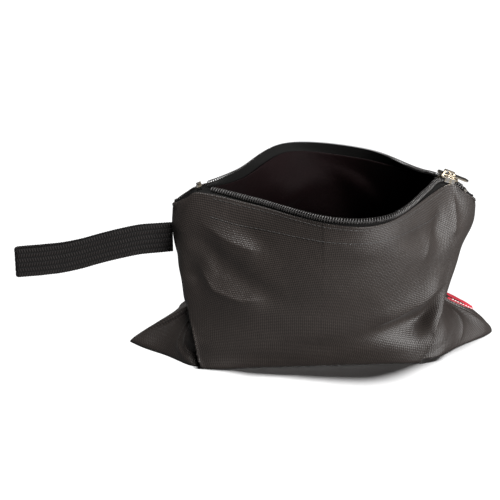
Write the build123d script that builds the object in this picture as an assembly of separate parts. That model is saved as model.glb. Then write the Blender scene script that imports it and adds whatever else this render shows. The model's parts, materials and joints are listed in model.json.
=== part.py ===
from build123d import *
import math
import os

# Makeup bag: a soft zipped pouch with boxed corners, a wrist strap and a side tag.
#
# X runs along the bag, Y from front to back and Z up. The origin is the middle of the
# flat bottom, on the floor. Every size is in millimetres.

# Cloth and webbing thicknesses.
SHELL = 0.9
LINING = 0.4
TAPE = 0.4
WEBBING = 1.1
LABEL = 0.5

# Depth of each layer's outer face below the bag's outer surface.
TAPE_DEPTH = 1.5
LINING_DEPTH = 2.6

# Each half stops this far from the plane where the two halves are sewn together,
# and each zip tape this far from the line where they close.
SEAM_GAP = 0.1
CHAIN_GAP = 0.3

# The wall is given by nine stations on each level, from the left side seam to the
# right one: seam, side, front crease, three on the front, crease, side, seam.
LEVELS = [
    (0, [(-109, 0), (-88, 19), (-66, 37), (-33, 38), (0, 38), (32, 38), (64, 37), (88, 19), (112, 0)]),
    (8, [(-94, 0), (-83, 19), (-68, 36), (-34, 40), (0, 41), (34, 40), (67, 36), (86, 19), (104, 0)]),
    (16, [(-79, 0), (-77, 18), (-70, 35), (-35, 42), (0, 43), (35, 42), (69, 35), (83, 18), (94, 0)]),
    (26, [(-67, 0), (-70, 16), (-72, 32), (-37, 43), (1, 46), (38, 43), (72, 32), (77, 16), (77, 0)]),
    (40, [(-67, 0), (-71, 12), (-75, 26), (-40, 43), (2, 48), (42, 43), (77, 25), (78, 12), (75, 0)]),
    (55, [(-77, 0), (-77, 8), (-76, 19), (-43, 39), (3, 50), (44, 44), (82, 18), (85, 8), (84, 0)]),
    (69, [(-81, 0), (-79, 6), (-74, 15), (-43, 34), (4, 51), (43, 46), (82, 17), (91, 7), (94, 0)]),
    (80, [(-81.5, 0), (-79, 5), (-71, 13), (-40, 29), (5, 51), (40, 48), (81, 14), (91, 6), (96, 0)]),
]
# The folded top edge rises to the zip's ends and droops between them: x, y, z.
FRONT_FOLD = [(-81.3, 1.6, 88), (-73, 4.6, 93), (-65, 7, 97), (-35, 22, 94), (6, 49, 92.6),
              (38, 48, 92.6), (77, 8.2, 98.2), (87, 5.4, 93.8), (95.8, 1.6, 86.5)]
BACK_FOLD = [(-81.3, 1.6, 88), (-73, 4.6, 93), (-65, 7, 97), (-42, 19, 97.5), (-9, 56.5, 98),
             (37, 51, 96), (77, 8.2, 98.2), (87, 5.4, 93.8), (95.8, 1.6, 86.5)]
BACK_DEEPER = 1.06
# The back's left side is drawn in: how far at each level, and the share at each station.
BACK_TUCK = [0, 1, 3.5, 8, 9, 7, 4, 2]
TUCK_SHARE = [0, 0.75, 1, 0.5, 0, 0, 0, 0, 0]
LINING_BELOW = 0.28

# The zip runs between stations of the wall. Its free edge is closed along both
# slanted ends and open between them: wall station, then x, y, z.
ENDS_LEFT = [(0.15, (-79, 0.4, 89)), (1, (-71, 0.4, 94)), (2, (-63, 0.6, 98.2))]
ENDS_RIGHT = [(5.65, (62, 16, 99.4)), (5.95, (69, 6, 100.8)), (6.15, (73.5, 2.4, 100.2)),
              (6.45, (77.5, 1.4, 98.5)), (6.7, (81.5, 0.4, 96.8)), (7.1, (85.5, 0.4, 94.6)),
              (7.8, (92.5, 0.4, 89))]
FRONT_LIP = ENDS_LEFT + [(3, (-33, 18.5, 98)), (4, (6, 47, 97.5)), (5, (38, 46, 97.6))] + ENDS_RIGHT
BACK_LIP = ENDS_LEFT + [(3, (-42, 14.5, 101.8)), (4, (-11, 54.5, 103)), (5, (37, 48.5, 101))] + ENDS_RIGHT
HEM = 0.6
COIL_FROM = 2.25
COIL_TO = 7.3
COIL_ROOT = 2.52
COIL_UNDER = 0.15
COIL_HIGH = 2.0

# Slider, its crown, its lock spring and the pull tab, in the slider's own frame:
# x along the chain, z out of the bag, the tape's outer face at z = 0.
SLIDER_AT = (77.5, 0.0, 98.5)
SLIDER_PITCH = 23.0
SLIDER_LONG = 12.0
SLIDER_WIDE = 9.4
SLIDER_NARROW = 7.2
PLATE = 1.0
UNDER_PLATE = -0.85
OVER_PLATE = 2.7
FLANGE_FOOT = 0.6
FLANGE = 0.8
WEDGE = (3.0, 1.2)
WEDGE_AT = -4.2
CROWN_LONG = 6.8
CROWN_HIGH = 2.95
CROWN_WIDE = 1.4
CROWN_BAR = 0.9
SPRING = (4.4, 1.0, 0.25)
TAB_LONG = 12.5
TAB_WIDE = 4.6
TAB_THICK = 0.9
TAB_BAR = 1.1
TAB_WINDOW = (3.95, 2.2)
TAB_LIFT = 1.0

# Stops at the two ends of the zip: size, place and slope.
TOP_STOP = (2.8, 1.9, 1.5)
TOP_STOP_AT = (-65.2, 1.75, 98.9)
TOP_STOP_SLOPE = -22.0
BOTTOM_STOP = (2.2, 4.6, 1.0)
BOTTOM_STOP_AT = (89.2, 0.0, 93.0)
BOTTOM_STOP_SLOPE = 38.0

# Wrist strap: a loop of webbing held in the left side seam.
STRAP_ROOT = -82.4
STRAP_END = -172.6
STRAP_EYE = 1.4
STRAP_TOP = [(-60, 77.5), (-84, 76.2), (-99.5, 75.2), (-111, 73), (-122.7, 70.2), (-134.4, 67),
             (-146, 64.8), (-157.6, 63.7), (-190, 61.8)]
STRAP_WIDE = 18.0

# Side tag in the right seam, lying back over the ear, and its row of stitches.
TAG_FROM = (81.8, 23.3)
TAG_TO = (97.4, 14.9)
TAG_OUT = 7.0
TAG_STITCHES = 7
TAG_STITCH = (1.3, 0.6, 0.25)

# Two rows of topstitching below the folded edge: distance in wall levels.
STITCH_ROWS = (0.14, 0.84)
STITCH_FROM = 1.2
STITCH_TO = 6.9
THREAD = 0.35
THREAD_LIFT = 0.24
THREAD_WIDE = 0.045


def curve(points, t):
    """Point at t on a smooth curve that passes the points at t = 0, 1, 2 and so on."""
    last = len(points) - 1
    i = min(int(t), last - 1)
    u = t - i
    near = (points[max(i - 1, 0)], points[i], points[i + 1], points[min(i + 2, last)])
    weights = (
        (-u + 2 * u ** 2 - u ** 3) / 2,
        (2 - 5 * u ** 2 + 3 * u ** 3) / 2,
        (u + 4 * u ** 2 - 3 * u ** 3) / 2,
        (-u ** 2 + u ** 3) / 2,
    )
    return tuple(sum(w * p[k] for w, p in zip(weights, near)) for k in range(len(near[0])))


def mix(a, b, share):
    """Point a share of the way from a to b."""
    return tuple(p + (q - p) * share for p, q in zip(a, b))


def spread(low, high, count):
    """Evenly spaced values from low to high."""
    return [low + (high - low) * i / (count - 1) for i in range(count)]


class Sheet:
    """A curved sheet through rows of stations. Y is counted outwards from the seams."""

    STEP = 0.02

    def __init__(self, rows):
        self.rows = rows
        self.last = len(rows) - 1
        self.width = len(rows[0]) - 1

    def middle(self, s, t):
        """Point at station s of row t."""
        return curve([curve(row, s) for row in self.rows], t)

    def point(self, s, t, depth):
        """Point a depth under the sheet's outer face."""
        s0, s1 = max(s - self.STEP, 0), min(s + self.STEP, self.width)
        t0, t1 = max(t - self.STEP, 0), min(t + self.STEP, self.last)
        a = [q - p for p, q in zip(self.middle(s0, t), self.middle(s1, t))]
        b = [q - p for p, q in zip(self.middle(s, t0), self.middle(s, t1))]
        normal = (
            b[1] * a[2] - b[2] * a[1],
            b[2] * a[0] - b[0] * a[2],
            b[0] * a[1] - b[1] * a[0],
        )
        size = math.hypot(*normal)
        return tuple(p - depth * n / size for p, n in zip(self.middle(s, t), normal))

    def patch(self, s_values, t_values, depth):
        """Rows of points over part of the sheet."""
        return [[self.point(s, t, depth) for s in s_values] for t in t_values]


def climb(column, low, count):
    """Points at even heights up a column, from the height low to its top."""
    heights = spread(low, column[-1][2], count)
    points = []
    i = 0
    for height in heights[:-1]:
        while column[i + 1][2] < height:
            i += 1
        share = (height - column[i][2]) / (column[i + 1][2] - column[i][2])
        points.append(mix(column[i], column[i + 1], share))
    return points + [column[-1]]


def trim(row, count):
    """Even points along a row, cut where it meets the seam plane at both ends."""
    first = next(i for i, p in enumerate(row) if p[1] > SEAM_GAP)
    final = next(i for i in range(len(row) - 1, 0, -1) if row[i][1] > SEAM_GAP)
    kept = list(row[first:final + 1])
    if first > 0:
        a, b = row[first - 1], row[first]
        kept.insert(0, mix(a, b, (SEAM_GAP - a[1]) / (b[1] - a[1])))
    if final < len(row) - 1:
        a, b = row[final], row[final + 1]
        kept.append(mix(a, b, (a[1] - SEAM_GAP) / (a[1] - b[1])))
    kept[0] = (kept[0][0], SEAM_GAP, kept[0][2])
    kept[-1] = (kept[-1][0], SEAM_GAP, kept[-1][2])
    points = []
    for place in spread(0, len(kept) - 1, count):
        i = min(int(place), len(kept) - 2)
        points.append(mix(kept[i], kept[i + 1], place - i))
    return points


def wall_layer(sheet, depth, top, rows=15, columns=49):
    """Rows of points of one layer of the wall, from that layer's floor to its top edge."""
    fine = sheet.patch(spread(0, sheet.width, 81), spread(0, top, 49), depth)
    columns_up = [climb([row[i] for row in fine], depth, rows) for i in range(len(fine[0]))]
    return [trim([column[j] for column in columns_up], columns) for j in range(rows)]


def vectors(row, side):
    """A row of points on the front (side -1) or the back (side 1)."""
    return [Vector(x, y * side, z) for x, y, z in row]


def ruled(edge_a, edge_b):
    """Face stretched straight between two edges."""
    return Face.make_surface_from_curves(edge_a, edge_b)


def layer_faces(curves):
    """Faces between each curve and the next."""
    return [ruled(a, b) for a, b in zip(curves, curves[1:])]


def end_faces(outer, inner):
    """Faces that close both ends of two facing layers."""
    faces = []
    for end in (0, -1):
        for j in range(len(outer) - 1):
            side_a = Edge.make_line(outer[j][end], outer[j + 1][end])
            side_b = Edge.make_line(inner[j][end], inner[j + 1][end])
            faces.append(ruled(side_a, side_b))
    return faces


def solid_between(outer, inner, side, floor=False):
    """Solid between two facing layers, with a flat floor out to the seam plane if asked."""
    outer = [vectors(row, side) for row in outer]
    inner = [vectors(row, side) for row in inner]
    outer_curves = [Edge.make_spline(row) for row in outer]
    inner_curves = [Edge.make_spline(row) for row in inner]
    faces = layer_faces(outer_curves) + layer_faces(inner_curves) + end_faces(outer, inner)
    faces.append(ruled(outer_curves[-1], inner_curves[-1]))
    if floor:
        outer_seam = Edge.make_line(outer[0][-1], outer[0][0])
        inner_seam = Edge.make_line(inner[0][-1], inner[0][0])
        faces.append(Face(Wire([outer_curves[0], outer_seam])))
        faces.append(Face(Wire([inner_curves[0], inner_seam])))
        faces.append(ruled(outer_seam, inner_seam))
    else:
        faces.append(ruled(outer_curves[0], inner_curves[0]))
    return Solid(Shell(faces)).fix()


def wall_sheet(side):
    """The bag's outer surface from the floor to the folded top edge."""
    if side < 0:
        rows = [[(x, y, z) for x, y in stations] for z, stations in LEVELS]
        return Sheet(rows + [FRONT_FOLD])
    rows = [
        [(x + tuck * share, y * BACK_DEEPER, z) for (x, y), share in zip(stations, TUCK_SHARE)]
        for (z, stations), tuck in zip(LEVELS, BACK_TUCK)
    ]
    return Sheet(rows + [BACK_FOLD])


def panel(side):
    """Outer cloth of one half: wall, half of the bottom and half of both ears."""
    sheet = wall_sheet(side)
    outer = wall_layer(sheet, 0, sheet.last)
    inner = wall_layer(sheet, SHELL, sheet.last)
    return solid_between(outer, inner, side, floor=True)


def lining(side):
    """Lining of one half, inside the outer cloth."""
    sheet = wall_sheet(side)
    top = sheet.last - LINING_BELOW
    outer = wall_layer(sheet, LINING_DEPTH, top)
    inner = wall_layer(sheet, LINING_DEPTH + LINING, top)
    return solid_between(outer, inner, side, floor=True)


def strip(sheet, side, s_range, t_range, depths, columns, rows):
    """Solid over part of a sheet, between two depths."""
    s_values = spread(*s_range, columns)
    t_values = spread(*t_range, rows)
    outer, inner = (keep_clear(sheet.patch(s_values, t_values, depth)) for depth in depths)
    return solid_between(outer, inner, side)


def keep_clear(rows):
    """Rows of points kept off the line where the two tapes close."""
    return [[(x, max(y, CHAIN_GAP), z) for x, y, z in row] for row in rows]


def zip_sheet(side):
    """Outer face of one zip tape, from inside the hem to the zip's free edge."""
    wall = wall_sheet(side)
    lip = BACK_LIP if side > 0 else FRONT_LIP
    levels = (wall.last - HEM, wall.last - HEM / 2, wall.last)
    rows = [[wall.point(s, t, TAPE_DEPTH) for s, _ in lip] for t in levels]
    return Sheet(rows + [[point for _, point in lip]])


def zip_tape(side):
    """Woven tape of one half of the zip."""
    sheet = zip_sheet(side)
    return strip(sheet, side, (0, sheet.width), (0, sheet.last), (0, TAPE), 61, 10)


def zip_coil(side):
    """Coil of teeth along the free edge of one tape."""
    sheet = zip_sheet(side)
    depths = (-COIL_UNDER - COIL_HIGH, -COIL_UNDER)
    return strip(sheet, side, (COIL_FROM, COIL_TO), (COIL_ROOT, sheet.last), depths, 61, 3)


def topstitch(side):
    """The rows of thread below one folded edge."""
    sheet = wall_sheet(side)
    rows = []
    for below in STITCH_ROWS:
        t_range = (sheet.last - below, sheet.last - below + THREAD_WIDE)
        depths = (-THREAD_LIFT - THREAD, -THREAD_LIFT)
        rows.append(strip(sheet, side, (STITCH_FROM, STITCH_TO), t_range, depths, 49, 2))
    return Compound(children=rows)


def on_slider(shape):
    """Move a shape from the slider's own frame into the bag's."""
    return Pos(*SLIDER_AT) * Rot(0, SLIDER_PITCH, 0) * shape


def slider_plate(low):
    """One of the slider's two plates: wide where the tapes part, narrow behind."""
    front = -SLIDER_LONG / 2
    outline = Polyline(
        (front, -SLIDER_WIDE * 0.36),
        (front + 1.4, -SLIDER_WIDE / 2),
        (front + 4.0, -SLIDER_WIDE / 2),
        (-front - 1.5, -SLIDER_NARROW / 2),
        (-front, -SLIDER_NARROW * 0.4),
        (-front, SLIDER_NARROW * 0.4),
        (-front - 1.5, SLIDER_NARROW / 2),
        (front + 4.0, SLIDER_WIDE / 2),
        (front + 1.4, SLIDER_WIDE / 2),
        (front, SLIDER_WIDE * 0.36),
        close=True,
    )
    return Pos(0, 0, low) * extrude(make_face(outline), PLATE, dir=(0, 0, 1))


def slider_body():
    """Two plates, the wedge between them and the flanges that guide the coils."""
    under = slider_plate(UNDER_PLATE - PLATE)
    over = slider_plate(OVER_PLATE)
    wedge_high = OVER_PLATE - UNDER_PLATE
    wedge = Pos(WEDGE_AT, 0, UNDER_PLATE + wedge_high / 2) * Box(*WEDGE, wedge_high)
    body = under + over + wedge
    tall = OVER_PLATE - FLANGE_FOOT
    long = SLIDER_LONG - 5.5
    turn = math.degrees(math.atan((SLIDER_WIDE - SLIDER_NARROW) / 2 / long))
    for side in (-1, 1):
        middle = side * ((SLIDER_WIDE + SLIDER_NARROW) / 4 - FLANGE / 2 - 0.05)
        flange = Rot(0, 0, -side * turn) * Box(long, FLANGE, tall)
        body += Pos(1.25, middle, FLANGE_FOOT + tall / 2) * flange
    return on_slider(body)


def crown():
    """Arch on the slider's top plate that holds the pull tab."""
    outer = Box(CROWN_LONG, CROWN_WIDE, CROWN_HIGH)
    window = Box(CROWN_LONG - 2 * CROWN_BAR, CROWN_WIDE, CROWN_HIGH - CROWN_BAR)
    inner = Pos(0, 0, -CROWN_BAR / 2) * window
    arch = outer - inner
    top_edges = outer_top_edges(arch)
    arch = fillet(top_edges, CROWN_BAR * 0.7)
    return on_slider(Pos(0, 0, OVER_PLATE + PLATE + CROWN_HIGH / 2) * arch)


def outer_top_edges(arch):
    """The two edges across the arch where its legs meet its bar on the outside."""
    edges = arch.edges().filter_by(Axis.Y)
    top = [e for e in edges if abs(e.center().Z - CROWN_HIGH / 2) < 0.01]
    return [e for e in top if abs(abs(e.center().X) - CROWN_LONG / 2) < 0.01]


def lock_spring():
    """Leaf spring on the top plate, under the arch."""
    leaf = Box(*SPRING)
    return on_slider(Pos(0, 0, OVER_PLATE + PLATE + SPRING[2] / 2) * leaf)


def pull_tab():
    """Flat tab whose end bar lies under the arch."""
    window_long, window_wide = TAB_WINDOW
    half = TAB_WIDE / 2
    outline = Polyline(
        (-TAB_BAR / 2, -half),
        (TAB_LONG - 1.5, -half),
        (TAB_LONG, -half + 1.5),
        (TAB_LONG, half - 1.5),
        (TAB_LONG - 1.5, half),
        (-TAB_BAR / 2, half),
        close=True,
    )
    plate = Pos(0, 0, -TAB_THICK / 2) * extrude(make_face(outline), TAB_THICK, dir=(0, 0, 1))
    middle = TAB_BAR / 2 + window_long / 2
    plate -= Pos(middle, 0, 0) * Box(window_long, window_wide, 2 * TAB_THICK)
    return on_slider(Pos(0, 0, OVER_PLATE + PLATE + TAB_LIFT) * plate)


def top_stop(side):
    """Metal stop clipped to one tape where the zip ends."""
    x, y, z = TOP_STOP_AT
    block = fillet(Box(*TOP_STOP).edges().filter_by(Axis.X), 0.45)
    return Pos(x, y * side, z + TOP_STOP[2] / 2) * Rot(0, TOP_STOP_SLOPE, 0) * block


def bottom_stop():
    """Metal stop across both tapes behind the slider."""
    block = fillet(Box(*BOTTOM_STOP).edges().filter_by(Axis.Y), 0.3)
    return Pos(*BOTTOM_STOP_AT) * Rot(0, BOTTOM_STOP_SLOPE, 0) * block


def strap_outline(offset):
    """Plan of the folded strap, a slim loop that closes at the seam."""
    reach = STRAP_ROOT - STRAP_END
    places = spread(0, 1, 13)
    near = []
    for place in places:
        x = STRAP_ROOT - (reach - STRAP_EYE - WEBBING) * place
        y = 0.06 + STRAP_EYE * place ** 0.6 + offset
        near.append((x, y))
    return near


def wrist_strap():
    """Loop of webbing: the plan of the loop, cut to the band it drops through."""
    outside = strap_outline(WEBBING)
    inside = strap_outline(0)
    tip = (STRAP_END, 0)
    inner_tip = (STRAP_END + WEBBING, 0)
    mirrored = [(x, -y) for x, y in reversed(outside)]
    inner_mirrored = [(x, -y) for x, y in reversed(inside)]
    whole = make_face(loop_wire(outside, tip, mirrored))
    hollow = make_face(loop_wire(inside, inner_tip, inner_mirrored))
    walls = Pos(0, 0, 20) * extrude(whole - hollow, 80, dir=(0, 0, 1))
    upper = [(x, z) for x, z in STRAP_TOP]
    lower = [(x, z - STRAP_WIDE) for x, z in reversed(STRAP_TOP)]
    ends = (Line(upper[-1], lower[0]), Line(lower[-1], upper[0]))
    band = make_face(loop_edges([Spline(*upper), ends[0], Spline(*lower), ends[1]]))
    slab = Pos(0, 10, 0) * Rot(90, 0, 0) * extrude(band, 20, dir=(0, 0, 1))
    return walls & slab


def loop_wire(there, tip, back):
    """Closed plan curve out along one layer, round the tip and back."""
    start, end = there[0], back[-1]
    return loop_edges([Spline(*there), Spline(there[-1], tip, back[0]), Spline(*back), Line(end, start)])


def loop_edges(parts):
    """One closed wire from edges that meet end to end."""
    return Wire([part.edge() for part in parts])


def tag_frame():
    """Place at the middle of the tag's root, x along the seam."""
    dx = TAG_TO[0] - TAG_FROM[0]
    dz = TAG_TO[1] - TAG_FROM[1]
    middle = ((TAG_FROM[0] + TAG_TO[0]) / 2, 0, (TAG_FROM[1] + TAG_TO[1]) / 2)
    pitch = math.degrees(math.atan2(-dz, dx))
    return Pos(*middle) * Rot(0, pitch, 0), math.hypot(dx, dz)


def side_tag():
    """Folded label that stands out of the right seam over the ear behind it."""
    place, long = tag_frame()
    return place * Pos(0, TAG_OUT / 2, LABEL / 2) * Box(long, TAG_OUT, LABEL)


def tag_stitches():
    """Short stitches along the tag's root."""
    place, long = tag_frame()
    stitches = []
    for x in spread(-long * 0.3, long * 0.42, TAG_STITCHES):
        stitch = Pos(x, 0.5, LABEL + TAG_STITCH[2] / 2) * Box(*TAG_STITCH)
        stitches.append(place * stitch)
    return Compound(children=stitches)


def export(shape, name):
    """Write one named piece."""
    export_step(shape, f"parts/{name}.step")


def main():
    os.makedirs("parts", exist_ok=True)
    for side, name in ((-1, "front"), (1, "back")):
        export(panel(side), f"{name}_panel")
        export(lining(side), f"{name}_lining")
        export(zip_tape(side), f"zipper_tape_{name}")
        export(zip_coil(side), f"zipper_coil_{name}")
        export(topstitch(side), f"topstitch_{name}")
        export(top_stop(side), f"top_stop_{name}")
    export(bottom_stop(), "bottom_stop")
    export(slider_body(), "slider_body")
    export(crown(), "slider_crown")
    export(lock_spring(), "slider_lock_spring")
    export(pull_tab(), "pull_tab")
    export(wrist_strap(), "wrist_strap")
    export(side_tag(), "side_tag")
    export(tag_stitches(), "tag_stitches")


main()
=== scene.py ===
"""Looks of the makeup bag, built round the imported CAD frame.

Lengths in the geometry code are millimetres; meshes are made in metres. Depth is
counted outwards from the seam plane on both halves: side is -1 for the front half
and 1 for the back one.
"""
import json
import math

import bmesh
import bpy
import numpy as np
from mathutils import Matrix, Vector

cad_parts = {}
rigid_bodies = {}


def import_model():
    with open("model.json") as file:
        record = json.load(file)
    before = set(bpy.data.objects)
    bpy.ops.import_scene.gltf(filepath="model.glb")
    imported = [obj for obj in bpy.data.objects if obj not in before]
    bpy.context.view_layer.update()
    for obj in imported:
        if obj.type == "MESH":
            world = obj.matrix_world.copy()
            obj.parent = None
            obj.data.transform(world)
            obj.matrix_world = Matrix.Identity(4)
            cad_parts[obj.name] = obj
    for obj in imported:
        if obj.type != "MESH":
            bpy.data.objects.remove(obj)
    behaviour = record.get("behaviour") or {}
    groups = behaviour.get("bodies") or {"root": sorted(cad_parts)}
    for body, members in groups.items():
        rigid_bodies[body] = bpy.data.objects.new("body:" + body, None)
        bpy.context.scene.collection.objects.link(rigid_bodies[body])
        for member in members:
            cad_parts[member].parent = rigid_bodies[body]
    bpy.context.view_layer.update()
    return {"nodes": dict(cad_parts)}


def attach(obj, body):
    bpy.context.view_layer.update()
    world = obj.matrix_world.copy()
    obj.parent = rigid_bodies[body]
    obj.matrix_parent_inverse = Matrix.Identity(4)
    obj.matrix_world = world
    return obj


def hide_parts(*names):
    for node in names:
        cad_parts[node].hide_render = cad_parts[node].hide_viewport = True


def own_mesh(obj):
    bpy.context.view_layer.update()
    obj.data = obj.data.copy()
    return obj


MM = 0.001
FRONT, BACK = -1, 1
NAMES = {FRONT: "front", BACK: "back"}

# Flat cut of one half of the bag: width, and height from the bottom seam to the fold.
FLAT_WIDE = 220.0
FLAT_HIGH = 138.0
BOTTOM_HALF = 37.0
CORNER_AT = 66.0
TIP_SHIFT = 1.5
TIP_BLUNT = 6.5
TIP_OUT = 5.0
TIP_FADE = 14.0

# Grid that the cloth settles on, and how much finer the finished mesh is.
COLUMNS = 160
ROWS = 100
REFINE = 2
SETTLE_ROUNDS = 70
IRON_TIMES = 10

# Settling: give of the cloth, sag in each round, and how stiff the links along the yarns,
# across them and over two and five cells are. Hold keeps cloth near the designed shape.
GIVE = 1.025
SAG = 0.004
STIFF_YARN = 0.9
STIFF_BIAS = 0.35
STIFF_BEND = (0.3, 0.12)
HOLD = 0.010
HOLD_FLOOR = 0.25
HOLD_SEAM = 0.20

# Side seams: the cloth beside them swells, and on the ears they roll to the front.
SEAM_PUFF = 1.1
EAR_PUFF = 0.5
SEAM_ROLL = 2.6
BACK_RISE = 2.4

# Layers of the rim, as depths below the outer cloth.
ROLL = 0.65
HEM = 9.0
TAPE_DEPTH = 1.55
TAPE = 0.4
TAPE_INSIDE = 8.5
TAPE_COLUMNS = 361
TAPE_ROWS = 25
LINING_DEPTH = 2.9
LINING = 0.35
LINING_BELOW = 0.8
LINING_SEAM = 5.5
LINING_RIPPLE = 1.6
HEM_CLEAR = 0.25
TAPE_CLEAR = 0.3

# Stations of the wall on each level, left seam to right seam: z, then (x, depth).
LEVELS = [
    (0, [(-109, 0), (-88, 19), (-66, 37), (-33, 38), (0, 38), (32, 38), (64, 37), (88, 19), (112, 0)]),
    (8, [(-94, 0), (-83, 19), (-68, 36), (-34, 40), (0, 41), (34, 40), (67, 36), (86, 19), (104, 0)]),
    (16, [(-79, 0), (-77, 18), (-70, 35), (-35, 42), (0, 43), (35, 42), (69, 35), (83, 18), (94, 0)]),
    (26, [(-67, 0), (-69, 16), (-72, 32), (-37, 43), (1, 46), (38, 43), (72, 32), (77, 16), (77, 0)]),
    (40, [(-67, 0), (-70, 12), (-75, 26), (-40, 43), (2, 48), (42, 43), (77, 25), (78, 12), (75, 0)]),
    (55, [(-77, 0), (-77, 8), (-76, 19), (-43, 39), (3, 50), (44, 44), (82, 18), (85, 8), (84, 0)]),
    (69, [(-81, 0), (-79, 6), (-74, 15), (-43, 34), (4, 51), (43, 46), (82, 17), (91, 7), (94, 0)]),
    (80, [(-81.5, 0), (-79, 5), (-71, 13), (-40, 29), (5, 51), (40, 48), (81, 14), (91, 6), (96, 0)]),
]
FOLD = {
    FRONT: [(-81.3, 1.6, 88), (-73, 4.6, 93), (-65, 7, 97), (-35, 22, 95), (6, 49, 93),
            (38, 48, 93), (77, 8.2, 98.2), (87, 5.4, 93.8), (95.8, 1.6, 86.5)],
    BACK: [(-81.3, 1.6, 88), (-73, 4.6, 93), (-65, 6, 97), (-42, 18.5, 98), (-9, 57, 98),
           (37, 51, 96), (77, 8.2, 98.2), (87, 5.4, 93.8), (95.8, 1.6, 86.5)],
}
BACK_DEEPER = 1.06
# The back's left side is drawn in: how far at each level, and the share at each station.
BACK_TUCK = [0, 1, 3.5, 8, 9, 7, 4, 2]
TUCK_SHARE = [0, 0.75, 1, 0.5, 0, 0, 0, 0, 0]

# Free edge of the zip: station of the wall, then x, depth, z.
ENDS_LEFT = [(0.15, (-79, 0.4, 89)), (1, (-71, 0.4, 94)), (2, (-63, 0.6, 98.2))]
ENDS_RIGHT = [(5.65, (62, 16, 99.4)), (5.95, (69, 6, 100.8)), (6.15, (73.5, 2.4, 100.2)),
              (6.45, (77.5, 1.4, 98.5)), (6.7, (81.5, 0.4, 96.8)), (7.1, (85.5, 0.4, 94.6)),
              (7.8, (92.5, 0.4, 89))]
LIP = {
    FRONT: ENDS_LEFT + [(3, (-33, 18.5, 98)), (4, (6, 47, 97.5)), (5, (38, 46, 97.6))] + ENDS_RIGHT,
    BACK: ENDS_LEFT + [(3, (-42, 14, 102.3)), (4, (-11, 56, 103)), (5, (37, 48.5, 101))] + ENDS_RIGHT,
}

# Zip coil: the stretch of the tape it is sewn to, and the size of its loops.
COIL_FROM = 2.25
COIL_TO = 7.3
COIL_PITCH = 1.5
COIL_BACK = 1.75
COIL_HALF = (1.3, 0.8)
COIL_CLEAR = 0.45
# Chain stitching that holds the coil: distance from the free edge, phase and height.
COIL_SEWN = ((1.5, 0.0, 1.82), (2.5, math.pi, 0.72))
COIL_SEWN_CLEAR = 0.4
COIL_THREAD = 0.13
WIRE = 0.35
LOOP_STEPS = 14
LIP_ROW = 3.0
CHAIN_STEPS = 2400
CHAIN_BACK = 0.25

# Rows of topstitching: distance below the fold, thread and stitch.
STITCH_ROWS = (1.5, 10.0)
STITCH = 2.5
STITCH_GAP = 0.5
THREAD = 0.19
STITCH_REACH = 82.0
STITCH_SUNK = 0.12
STITCH_SWELL = 0.26
STITCH_STEPS = 9
LINE_STEPS = 1500
THREAD_TWIST = 0.55

# Wrist strap: a loop of webbing from the left seam, its top edge and its width.
STRAP_ROOT = -80.6
STRAP_END = -172.4
STRAP_EYE = 1.25
STRAP_GAP = 0.12
STRAP_TOP = [(-60, 77.5), (-84, 76.2), (-99.5, 75.2), (-111, 73), (-122.7, 70.2), (-134.4, 67),
             (-146, 64.8), (-157.6, 63.7), (-190, 61.8)]
STRAP_WIDE = 17.6
WEBBING = 1.05
WEB_ROWS = 6
WEB_FLOAT = 1.5
WEB_LEAN = 0.55
WEB_DEEP = 0.3
SCALLOP = 0.22
WEB_EDGE = 0.03
WEB_ROUND = 0.35
WEB_STEP = 0.3
WEB_LINES = 61

# Side tag in the right seam.
TAG_FROM = (81.8, 23.3)
TAG_TO = (97.4, 14.9)
TAG_OUT = 7.0
TAG_ROOT = 1.6
TAG_EASE = 0.4
TAG_PLY = 0.4
RIBBON = 0.16
TAG_PITCH = 1.85
TAG_STITCH = 0.62
TAG_STITCH_FRONT = 0.9
TAG_THREAD = 0.3

# How far the cloth flattens when the zip is drawn shut, and the tilt that brings
# the two rows of coil to one height.
SHUT_CLOTH = 0.05
SHUT_ZIP = 0.015
ZIP_TILT = 0.046

# Rounding of the metal pieces' edges.
METAL_EDGE = 0.2

# Camera: distance, height above the horizon, turn, and the picture's place and width.
CAMERA_FAR = 1000.0
CAMERA_HIGH = 24.0
CAMERA_TURN = -3.6
VIEW_WIDE = 300.0
VIEW_SHIFT = (-35.7, 51.9)
SENSOR = 36.0

# Light: a sun overhead whitens the floor and draws the contact shadow, a key lamp at the
# right lights all but the floor, and a dim surround fills in.
SUN_WAY = (-0.06, 0.07, 1.0)
SUN_WIDE = 10.0
SUN_POWER = 4.0
KEY_AT = (0.80, -0.83, 0.42)
KEY_SIZE = 0.8
KEY_POWER = 36.0
SURROUND = (0.0, 0.16)
SURROUND_WAY = (0.2, -0.2, 0.9)
SURROUND_SPAN = (-0.7, 0.9)
FLOOR_BOUNCE = 0.2
FLOOR_HALF = 4.0

# Hollows and swells of each half on the flat cut: place, size, turn in degrees, height.
HOLLOWS = {
    FRONT: [
        ((-60, 128), (20, 5.5), -22, -1.9),
        ((-58, 103), (28, 7), -24, -2.4),
        ((-84, 90), (8, 18), -12, -1.6),
        ((60, 65), (22, 9), 11, -8.5),
        ((66, 56), (14, 10), 50, -3.0),
        ((75, 120), (7, 14), 8, -3.2),
        ((60, 122), (14, 8), -20, -1.4),
        ((10, 92), (40, 24), 0, 1.2),
        ((-92, 40), (12, 3), 0, -1.2),
        ((92, 40), (4, 9), -14, -1.3),
        ((100, 26), (3, 7), -20, -0.9),
    ],
    BACK: [
        ((30, 112), (18, 6), -30, -3.0),
        ((-30, 104), (22, 6), 28, -2.8),
        ((-66, 84), (9, 22), 15, 1.2),
        ((60, 74), (24, 6), -22, -3.2),
        ((-52, 66), (18, 5), 14, -2.2),
        ((0, 76), (38, 14), 4, 1.4),
        ((94, 42), (5, 9), 10, -1.2),
        ((-93, 40), (5, 9), -10, -1.2),
    ],
}

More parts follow.
